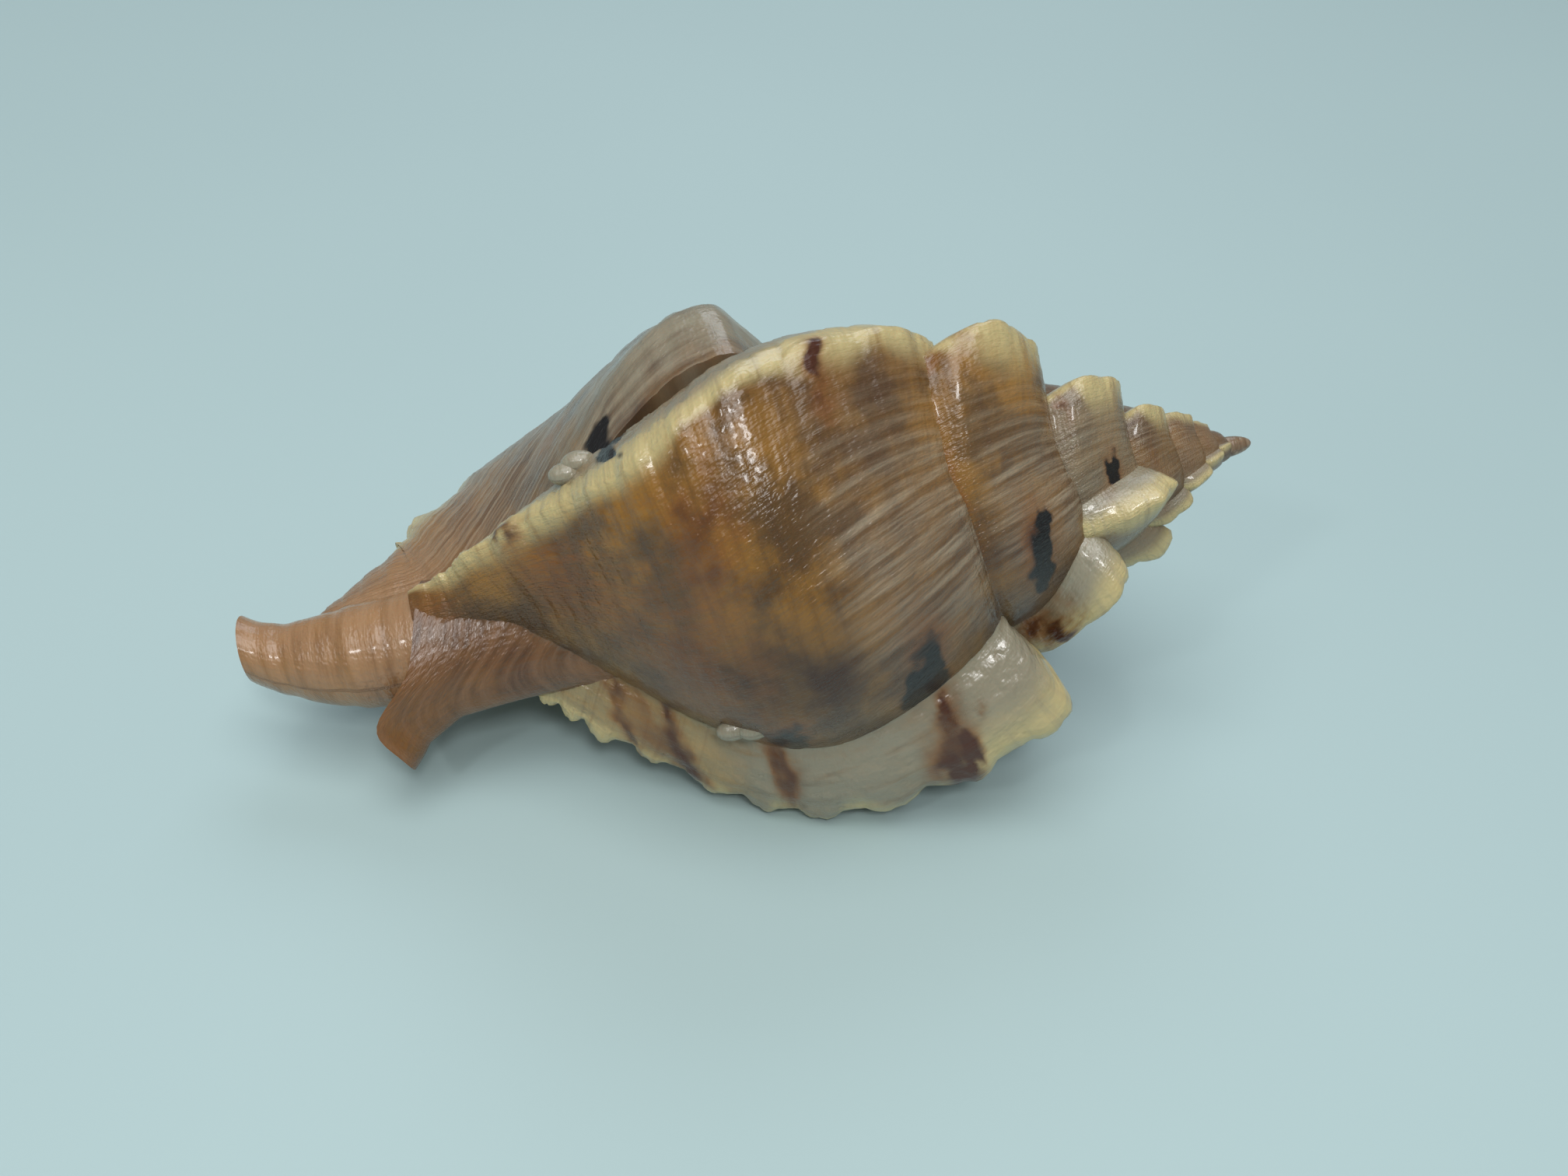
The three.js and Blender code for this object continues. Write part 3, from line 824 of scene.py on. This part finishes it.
        size = np.clip(growth.grown(t - growth.varix_at(1)), 0, 1) * np.ones_like(share)
        ends = ease(share, 0, 0.03) * (1 - ease(share, 0.96, 1.0))
        fine = self.relief.height(index, after, length, lift) * size * ends
        outer = outer + self.normals(outer) * fine[..., None]

        inner_share = share[:, ::self.inner_step]
        inner_x, inner_r = growth.curve(body, inner_share, tip_x)
        inner_phi = growth.last_varix_phi + t + self.rim_slant(inner_x, rim)
        inner = place(inner_x, inner_r * self.inner_share, inner_phi)
        fill = np.repeat(inner, self.inner_step, axis=1)[:, : outer.shape[1]]
        points = np.concatenate([outer, fill[:, ::-1]], axis=1)

        up_spire = (x + out_x * height - body.wide_x) / body.scale
        values = self.markings.paint(index, after, up_spire, x, lift)
        values["trace"] = layers(lift.shape, around, length, 0.0)
        mirrored = {name: np.concatenate([value, value[:, ::-1]], axis=1) for name, value in values.items()}
        return Solid(f"stretch_{index}", points, mirrored)

    @staticmethod
    def normals(points: Array) -> Array:
        """Unit normals of a grid: the cross product of its two directions, turned outwards."""
        normal = np.cross(np.gradient(points, axis=0), np.gradient(points, axis=1))
        normal /= np.maximum(np.linalg.norm(normal, axis=-1, keepdims=True), 1e-12)
        outward = (normal[..., 1:] * points[..., 1:]).sum(axis=-1)
        return normal * (1.0 if outward.mean() > 0 else -1.0)


# ---- the other solids ----


@dataclass
class Core:
    """The solid middle that the whorls wind round, and the first tiny whorl at its end."""

    profile: Points = (
        (58.6, 0.3), (57, 0.8), (52, 2.3), (47, 3.6), (43, 4.8), (38, 5.6), (33, 6.2), (27, 5.6), (20, 3.3),
        (14, 1.8), (10, 1.4),
    )
    nucleus_x: float = 58.1
    nucleus_radius: float = 0.62
    nucleus_length: float = 1.7
    tint: Tint = Tint(rust=0.1, mauve=0.8, dull=1.0)

    def solids(self) -> list[Solid]:
        """A turned profile, and half a spheroid at the apex."""
        x, r = np.array(self.profile).T
        core = rod("core", place(x, 0, 0), r, 16, Tint())
        angle = np.radians(np.linspace(0, 85, 14))
        r = self.nucleus_radius * np.cos(angle)
        centres = place(self.nucleus_x + self.nucleus_length * np.sin(angle), 0, 0)
        return [core, rod("nucleus", centres, r, 28, self.tint)]


@dataclass
class Canal:
    """The open siphonal canal, and the flattened one of the varix before last beside it."""

    radii: Points = ((0, 1.9), (1, 1.95), (3, 2.3), (6, 3.0), (9, 3.3), (24, 3.2))
    bore: float = 0.95
    bore_depth: float = 7.0
    old_rows: Rows = (
        (10.3, 1.8, 1.3, 5.3, 2.7), (12, 1.4, 1.2, 4.6, 2.5), (14.5, 1.15, 1.1, 4.2, 2.4),
        (18.5, 1.4, 0.9, 4.4, 2.6), (25, 1.4, 0.6, 5.4, 3.0),
    )
    old_bore_rows: Rows = ((9.0, 5.2, 0.9, 1.4, 0.9), (12.6, 4.6, 0.9, 0.8, 0.5))
    old_slant: float = 0.2
    jut_down: float = 4.5
    jut_half: float = 2.0
    jut_forward: float = 2.1
    old_down_phi: float = -49.0
    ridges: Ripple = Ripple(0.1, 0.8, 1.0, 3)
    sides: int = 72
    tint: Tint = Tint(salmon=0.7, mauve=0.55)
    old_tint: Tint = Tint(rust=0.6, mauve=0.35, dull=1.0)

    def round_tube(self, name: str, ends: tuple[float, float], radii: Points, tint: Tint) -> Solid:
        """A run of the canal whose radius follows a short list, with faint ridges on its outside."""
        x = np.linspace(*ends, 110)
        r = table(x, radii) + self.ridges.at(x, 0.0) * (tint.zone is Zone.OUTSIDE)
        return rod(name, place(x, 0, 0), r, self.sides, tint)

    def flat_tube(self, name: str, rows: Rows, tint: Tint) -> Solid:
        """The old canal: x, how far down and out it lies, half width and half thickness."""
        columns = np.array(rows).T
        x = np.linspace(columns[0][0], columns[0][-1], 60)
        down, out, wide, thick = (np.interp(x, columns[0], column)[:, None] for column in columns[1:])
        downwards = across(self.old_down_phi) - [self.old_slant, 0, 0]
        outwards = across(self.old_down_phi + 90)
        axis = place(x, 0, 0)
        middle = axis + down * downwards + out * outwards
        flat = tube(name, middle, wide * downwards, thick * outwards, self.sides, tint)
        depth = (flat.points - axis[:, None]) @ across(self.old_down_phi)
        flat.points[..., 0] -= self.jut_forward * bell(depth, self.jut_down, self.jut_half)
        return flat

    def solids(self) -> list[Solid]:
        """The two canals as solid tubes."""
        canal = self.round_tube("canal", (0, self.radii[-1][0]), self.radii, self.tint)
        return [canal, self.flat_tube("old_canal", self.old_rows, self.old_tint)]

    def bores(self) -> list[Solid]:
        """The openings of the two canals."""
        lining = Tint(zone=Zone.LINING)
        bore = self.round_tube("canal_bore", (-1, self.bore_depth), ((0, self.bore),), lining)
        return [bore, self.flat_tube("old_bore", self.old_bore_rows, Tint(ivory=0.8))]


@dataclass
class Teeth:
    """The rounded teeth on the front faces of the two wings before the last."""

    places: tuple[tuple[float, float, float], ...] = (
        (28.2, 11.5, -23.0), (27.0, 11.2, -24.0), (21.9, 10.2, 75.0), (21.1, 9.9, 73.0),
    )
    radius: float = 0.62
    half_length: float = 0.95

    def solids(self) -> list[Solid]:
        """Spheroids along the axis: the radius is the cosine of the angle along them."""
        angle = np.radians(np.linspace(-88, 88, 26))
        radius = self.radius * np.cos(angle)
        along = np.outer(self.half_length * np.sin(angle), [1.0, 0, 0])
        return [
            rod(f"tooth_{number}", place(*seat) + along, radius, 28, Tint(ivory=1.0))
            for number, seat in enumerate(self.places)
        ]


@dataclass
class Hollow:
    """The hollow behind the aperture: x, r, phi, half length along x and half width."""

    rows: Rows = (
        (26.0, 18.0, 243, 7.6, 5.2), (26.3, 12.6, 239, 6.9, 4.5), (27.5, 9.6, 231, 6.2, 3.9),
        (29.0, 7.9, 213, 4.8, 3.0), (30.5, 7.8, 192, 2.6, 1.7),
    )

    def solid(self) -> Solid:
        """An elliptical horn along the rows, eased between them."""
        share = np.linspace(0, len(self.rows) - 1, 49)
        numbers = range(len(self.rows))
        x, r, phi, long, wide = (np.interp(share, numbers, row) for row in np.array(self.rows).T)
        centres = place(x, r, phi)
        path = np.gradient(centres, axis=0) * [0, 1, 1]
        path /= np.linalg.norm(path, axis=1, keepdims=True)
        sideways = np.stack([0 * x, -path[:, 2], path[:, 1]], axis=-1) * wide[:, None]
        lengthwise = long[:, None] * np.array([1.0, 0, 0])
        return tube("hollow", centres, lengthwise, sideways, 72, Tint(zone=Zone.LINING))


# ---- finishes ----


def colour(code: str) -> tuple[float, float, float, float]:
    """A colour in linear light from its six-figure code."""
    parts = np.array([int(code[i:i + 2], 16) / 255 for i in (0, 2, 4)])
    linear = np.where(parts <= 0.04045, parts / 12.92, ((parts + 0.055) / 1.055) ** 2.4)
    return (*linear.tolist(), 1.0)


class Nodes:
    """Short calls that lay out the nodes of one material."""

    def __init__(self, name: str) -> None:
        """Start a material that has only an output node."""
        self.material = bpy.data.materials.new(name)
        self.material.use_nodes = True
        self.tree = self.material.node_tree
        self.tree.nodes.clear()

    def put(self, socket: Socket, value: object) -> None:
        """Link a socket to another one, or set it to a constant or to a colour from its code."""
        if isinstance(value, bpy.types.NodeSocket):
            self.tree.links.new(value, socket)
        else:
            socket.default_value = colour(value) if isinstance(value, str) else value

    def add(self, kind: str, inputs: dict | None = None, **settings: object) -> bpy.types.Node:
        """Add a node, set its properties and fill its inputs."""
        node = self.tree.nodes.new(kind)
        for key, value in settings.items():
            setattr(node, key, value)
        for key, value in (inputs or {}).items():
            self.put(node.inputs[key], value)
        return node

    def plus(self, first: object, second: object) -> Socket:
        """The sum of two numbers."""
        return self.add("ShaderNodeMath", {0: first, 1: second}, operation="ADD").outputs[0]

    def times(self, first: object, second: object) -> Socket:
        """The product of two numbers."""
        return self.add("ShaderNodeMath", {0: first, 1: second}, operation="MULTIPLY").outputs[0]

    def mix(self, amount: object, first: object, second: object) -> Socket:
        """Blend two colours by an amount from 0 to 1."""
        node = self.add("ShaderNodeMix", data_type="RGBA", clamp_factor=True)
        for socket, value in zip((node.inputs[0], node.inputs[6], node.inputs[7]), (amount, first, second)):
            self.put(socket, value)
        return node.outputs[2]

    def step(self, value: object, low: float, high: float) -> Socket:
        """Rise smoothly from 0 at low to 1 at high."""
        inputs = {"Value": value, "From Min": low, "From Max": high}
        return self.add("ShaderNodeMapRange", inputs, interpolation_type="SMOOTHSTEP").outputs[0]

    def noise(self, vector: object, scale: float, detail: float) -> Socket:
        """Noise about 0.5 at a scale."""
        inputs = {"Vector": vector, "Scale": scale, "Detail": detail, "Roughness": 0.55}
        return self.add("ShaderNodeTexNoise", inputs).outputs["Fac"]

    def grain(self, trace: Socket, around: float, along: float, detail: float) -> Socket:
        """Noise over growth and curve length, with its own cells per millimetre in each."""
        inputs = {0: trace, 1: (around, along, 0.0)}
        stretched = self.add("ShaderNodeVectorMath", inputs, operation="MULTIPLY").outputs[0]
        return self.noise(stretched, 1.0, detail)

    def parts(self, name: str) -> tuple[Socket, Socket, Socket, Socket]:
        """An attribute as a vector and its three parts."""
        vector = self.add("ShaderNodeAttribute", attribute_name=name).outputs["Vector"]
        split = self.add("ShaderNodeSeparateXYZ", {0: vector})
        return vector, split.outputs[0], split.outputs[1], split.outputs[2]

    def finish(self, **inputs: object) -> bpy.types.Material:
        """Close the material with a Principled shader and its inputs."""
        named = {key.replace("_", " "): value for key, value in inputs.items()}
        shader = self.add("ShaderNodeBsdfPrincipled", named)
        self.add("ShaderNodeOutputMaterial", {"Surface": shader.outputs[0]})
        return self.material


@dataclass(frozen=True)
class Glaze:
    """The shell's own glossy surface, from golden brown to cream, with spiral bands."""

    golden: str = "906525"
    olive: str = "5c4120"
    umber: str = "3a1f0d"
    mauve: str = "ac9c84"
    dusk: str = "735c47"
    cream: str = "bfae7c"
    ivory: str = "918a76"
    salmon: str = "a47a54"
    rust: str = "46200b"
    amber: str = "78471a"
    soot: str = "0e0707"
    lining: str = "7d6a60"
    depth: float = 0.00014
    roughness: float = 0.2

    def ground(self, kit: Nodes, lines: Socket, spiral: Socket, mottle: Socket, patch: Socket) -> Socket:
        """The colour under the marks: golden on the wings, duller brown and mauve behind them.

        Args:
            kit: The material's nodes.
            lines: Noise along the growth lines.
            spiral: Noise along the cords.
            mottle: Fine noise.
            patch: Coarse noise.

        Returns:
            The ground colour.
        """
        _, mauve, _, salmon = kit.parts("tones")
        dull = kit.parts("zones")[3]
        mottled = kit.step(mottle, 0.35, 0.65)
        shade = kit.mix(mottled, self.olive, self.golden)
        deep = kit.mix(mottled, self.umber, self.olive)
        clouded = kit.plus(kit.times(dull, 0.5), kit.times(kit.step(patch, 0.42, 0.66), 0.6))
        shade = kit.mix(clouded, shade, deep)
        shade = kit.mix(kit.times(kit.step(spiral, 0.44, 0.75), 0.35), shade, self.umber)
        grey = kit.mix(kit.step(lines, 0.32, 0.72), self.dusk, self.mauve)
        streaks = kit.plus(kit.times(kit.step(lines, 0.36, 0.66), 0.4), 0.45)
        shade = kit.mix(kit.times(mauve, streaks), shade, grey)
        flush = kit.plus(kit.times(kit.step(lines, 0.32, 0.55), 0.4), 0.6)
        return kit.mix(kit.times(salmon, flush), shade, self.salmon)

    def height(self, kit: Nodes, trace: Socket, place_on: Socket) -> Socket:
        """The finest relief: threads along the cords, crossed into beads by growth lines."""
        threads = kit.grain(trace, 0.45, 2.6, 1)
        beads = kit.grain(trace, 4.2, 2.6, 1)
        striae = kit.grain(trace, 4.5, 0.5, 2)
        pores = kit.noise(place_on, 2600, 2)
        height = kit.plus(kit.times(threads, 0.6), kit.times(beads, 0.8))
        height = kit.plus(height, kit.times(striae, 0.6))
        return kit.plus(height, kit.times(pores, 0.1))

    def material(self) -> bpy.types.Material:
        """Build the glaze.

        Returns:
            The material.
        """
        kit = Nodes("shell_glaze")
        trace = kit.parts("trace")[0]
        _, rust, soot, ivory = kit.parts("marks")
        cream = kit.parts("tones")[2]
        lining = kit.parts("zones")[2]
        place_on = kit.add("ShaderNodeTexCoord").outputs["Object"]
        lines = kit.grain(trace, 1.7, 0.16, 5)
        spiral = kit.grain(trace, 0.13, 1.5, 4)
        mottle = kit.noise(place_on, 330, 5)
        patch = kit.noise(place_on, 120, 3)

        paint = self.ground(kit, lines, spiral, mottle, patch)
        paint = kit.mix(kit.times(ivory, kit.step(lines, 0.1, 0.5)), paint, self.ivory)
        paint = kit.mix(kit.times(cream, kit.step(spiral, 0.05, 0.55)), paint, self.cream)
        grain = kit.plus(kit.times(lines, 0.5), kit.times(mottle, 0.5))
        torn = kit.step(kit.plus(grain, kit.times(rust, 0.4)), 0.5, 0.85)
        stain = kit.mix(kit.step(rust, 0.55, 0.95), self.amber, self.rust)
        paint = kit.mix(kit.times(rust, torn), paint, stain)
        spread = kit.times(kit.plus(mottle, -0.5), 0.6)
        paint = kit.mix(kit.step(kit.plus(soot, spread), 0.2, 0.55), paint, self.soot)
        paint = kit.mix(lining, paint, self.lining)
        relief = {"Height": self.height(kit, trace, place_on), "Distance": self.depth, "Strength": 0.6}
        return kit.finish(
            Base_Color=paint,
            Roughness=kit.plus(kit.times(mottle, 0.2), self.roughness),
            Coat_Weight=0.35,
            Coat_Roughness=0.1,
            Normal=kit.add("ShaderNodeBump", relief).outputs[0],
            Subsurface_Weight=0.06,
            Subsurface_Scale=0.002,
        )


@dataclass(frozen=True)
class FloorPaint:
    """The pale matt surface under the shell."""

    pale: str = "a6bcbd"
    paler: str = "b0c6c6"

    def material(self) -> bpy.types.Material:
        """A faintly clouded pale colour."""
        kit = Nodes("floor_paint")
        place_on = kit.add("ShaderNodeTexCoord").outputs["Object"]
        cloud = kit.mix(kit.noise(place_on, 9, 2), self.pale, self.paler)
        return kit.finish(Base_Color=cloud, Roughness=0.55)


# ---- the shell ----


@dataclass
class Shell:
    """The whole shell: its solids joined, laid down in the frame's box and dressed."""

    box: tuple[Sequence[float], Sequence[float]]
    growth: Growth = field(default_factory=Growth)
    relief: Relief = field(default_factory=Relief)
    markings: Markings = field(default_factory=Markings)
    core: Core = field(default_factory=Core)
    canal: Canal = field(default_factory=Canal)
    teeth: Teeth = field(default_factory=Teeth)
    hollow: Hollow = field(default_factory=Hollow)
    stretches: int = 22
    rest_pitch: float = 11.06
    rest_roll: float = -0.64

    def combine(self, whole: bpy.types.Object, solid: Solid, how: Join) -> None:
        """Add one solid to the shell or cut it out of it.

        Args:
            whole: The shell so far.
            solid: The next solid.
            how: Whether it is added or cut.
        """
        tool = solid.build()
        modifier = whole.modifiers.new("joined", "BOOLEAN")
        modifier.object = tool
        modifier.operation = how.value
        modifier.solver = "MANIFOLD"
        graph = bpy.context.evaluated_depsgraph_get()
        joined = bpy.data.meshes.new_from_object(whole.evaluated_get(graph))
        whole.modifiers.clear()
        old = whole.data
        whole.data = joined
        bpy.data.meshes.remove(old)
        worn = tool.data
        bpy.data.objects.remove(tool)
        bpy.data.meshes.remove(worn)
        LOG.info("%s %s: %d faces", how.name.lower(), solid.name, len(joined.polygons))

    def lay_down(self, piece: bpy.types.Object) -> None:
        """Turn the mesh to its resting pose and fit it to the frame's box, in metres."""
        mesh = piece.data
        points = np.empty(len(mesh.vertices) * 3, np.float32)
        mesh.vertices.foreach_get("co", points)
        pitched = Matrix.Rotation(-np.radians(self.rest_pitch), 3, "Y")
        turn = pitched @ Matrix.Rotation(np.radians(self.rest_roll), 3, "X")
        points = points.reshape(-1, 3).astype(float) @ np.array(turn).T
        low, high = (np.array(corner) for corner in self.box)
        size = (high - low)[0] / np.ptp(points[:, 0])
        points *= size
        middle = (points.min(axis=0) + points.max(axis=0)) / 2
        middle[2] = points[:, 2].min()
        points += (low + high) / 2 * [1, 1, 0] + [0, 0, low[2]] - middle
        mesh.vertices.foreach_set("co", points.astype(np.float32).ravel())
        mesh.update()

    def build(self) -> bpy.types.Object:
        """Join, cut, lay down and dress the shell.

        Returns:
            The finished piece.
        """
        first, *others = (
            Stretch(index, self.growth, self.relief, self.markings) for index in range(self.stretches)
        )
        whole = first.solid().build()
        for stretch in others:
            self.combine(whole, stretch.solid(), Join.ADD)
        for solid in (*self.core.solids(), *self.canal.solids(), *self.teeth.solids()):
            self.combine(whole, solid, Join.ADD)
        for solid in (self.hollow.solid(), *self.canal.bores()):
            self.combine(whole, solid, Join.CUT)
        self.lay_down(whole)
        whole.name = "murex_shell"
        whole.data.name = "murex_shell"
        whole.data.materials.clear()
        whole.data.materials.append(Glaze().material())
        whole.data.polygons.foreach_set("material_index", np.zeros(len(whole.data.polygons), np.int32))
        whole.data.shade_smooth()
        whole.data.set_sharp_from_angle(angle=np.radians(60))
        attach(whole, "root")
        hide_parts("shell")
        return whole


# ---- the studio ----


@dataclass(frozen=True)
class Lamp:
    """A square soft lamp: where it hangs, as angles and lengths of the shell, and its strength."""

    name: str
    azimuth: float
    elevation: float
    distance: float
    size: float
    power: float
    tint: str = "ffffff"


@dataclass
class Studio:
    """The floor, the soft lamps and the camera, all placed from the shell's box."""

    box: tuple[Sequence[float], Sequence[float]]
    floor_side: float = 6.0
    azimuth: float = -9.095
    elevation: float = 38.557
    roll: float = 2.624
    distance: float = 1.7252
    aim: tuple[float, float, float] = (0.0374, -0.0672, -0.0710)
    lens: float = 39.52
    lamps: tuple[Lamp, ...] = (
        Lamp("over_lamp", -30, 78, 9.0, 7.0, 1.75),
        Lamp("front_lamp", 2, 48, 7.0, 1.2, 0.5),
        Lamp("side_lamp", -42, 40, 7.0, 0.6, 0.16),
        Lamp("back_lamp", 170, 45, 9.0, 5.0, 0.6, "e6f1ff"),
    )

    def direction(self, azimuth: float, elevation: float) -> Vector:
        """The unit vector at an azimuth from the front and an elevation."""
        level = np.cos(np.radians(elevation))
        sideways, front = np.sin(np.radians(azimuth)), -np.cos(np.radians(azimuth))
        return Vector((level * sideways, level * front, np.sin(np.radians(elevation))))

    def look(self, item: bpy.types.Object, target: Vector, way: Vector, far: float, roll: float = 0) -> None:
        """Place an object along a direction from a target, looking back at it."""
        turned = way.to_track_quat("Z", "Y").to_matrix().to_4x4()
        rolled = turned @ Matrix.Rotation(np.radians(roll), 4, "Z")
        item.matrix_world = Matrix.Translation(target + way * far) @ rolled

    def build(self) -> None:
        """Lay the floor, hang the lamps and set the camera."""
        low, high = (Vector(corner) for corner in self.box)
        middle, length = (low + high) / 2, (high - low)[0]
        self.lay_floor(low[2])
        for lamp in self.lamps:
            light = bpy.data.lights.new(lamp.name, "AREA")
            light.size = lamp.size * length
            light.energy = lamp.power
            light.color = colour(lamp.tint)[:3]
            item = bpy.data.objects.new(lamp.name, light)
            bpy.context.scene.collection.objects.link(item)
            self.look(item, middle, self.direction(lamp.azimuth, lamp.elevation), lamp.distance * length)
        world = bpy.data.worlds.new("studio_air")
        world.use_nodes = True
        world.node_tree.nodes["Background"].inputs[0].default_value = colour("dfeaec")
        world.node_tree.nodes["Background"].inputs[1].default_value = 0.3
        bpy.context.scene.world = world
        self.set_camera(middle, length)

    def lay_floor(self, height: float) -> None:
        """One square face at the given height."""
        half = self.floor_side / 2
        mesh = bpy.data.meshes.new("floor")
        square = ((-half, -half), (half, -half), (half, half), (-half, half))
        corners = [(x, y, height) for x, y in square]
        mesh.from_pydata(corners, [], [(0, 1, 2, 3)])
        mesh.materials.append(FloorPaint().material())
        floor = bpy.data.objects.new("floor", mesh)
        bpy.context.scene.collection.objects.link(floor)

    def set_camera(self, middle: Vector, length: float) -> None:
        """Point the camera at its aim, which is given in lengths of the shell."""
        lens = bpy.data.cameras.new("camera")
        lens.lens = self.lens
        lens.sensor_width = 36.0
        lens.clip_start = 0.001
        camera = bpy.data.objects.new("camera", lens)
        bpy.context.scene.collection.objects.link(camera)
        target = middle + Vector(self.aim) * length
        way = self.direction(self.azimuth, self.elevation)
        self.look(camera, target, way, self.distance * length, self.roll)
        bpy.context.scene.camera = camera


def main() -> None:
    """Build the studio and the shell."""
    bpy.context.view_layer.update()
    low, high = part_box("shell")
    bpy.context.scene.view_settings.view_transform = "Standard"
    Studio((low, high)).build()
    LOG.info("studio: floor, lamps and camera")
    piece = Shell((low, high)).build()
    LOG.info("shell: %d faces", len(piece.data.polygons))


if __name__ == "__main__":
    main()
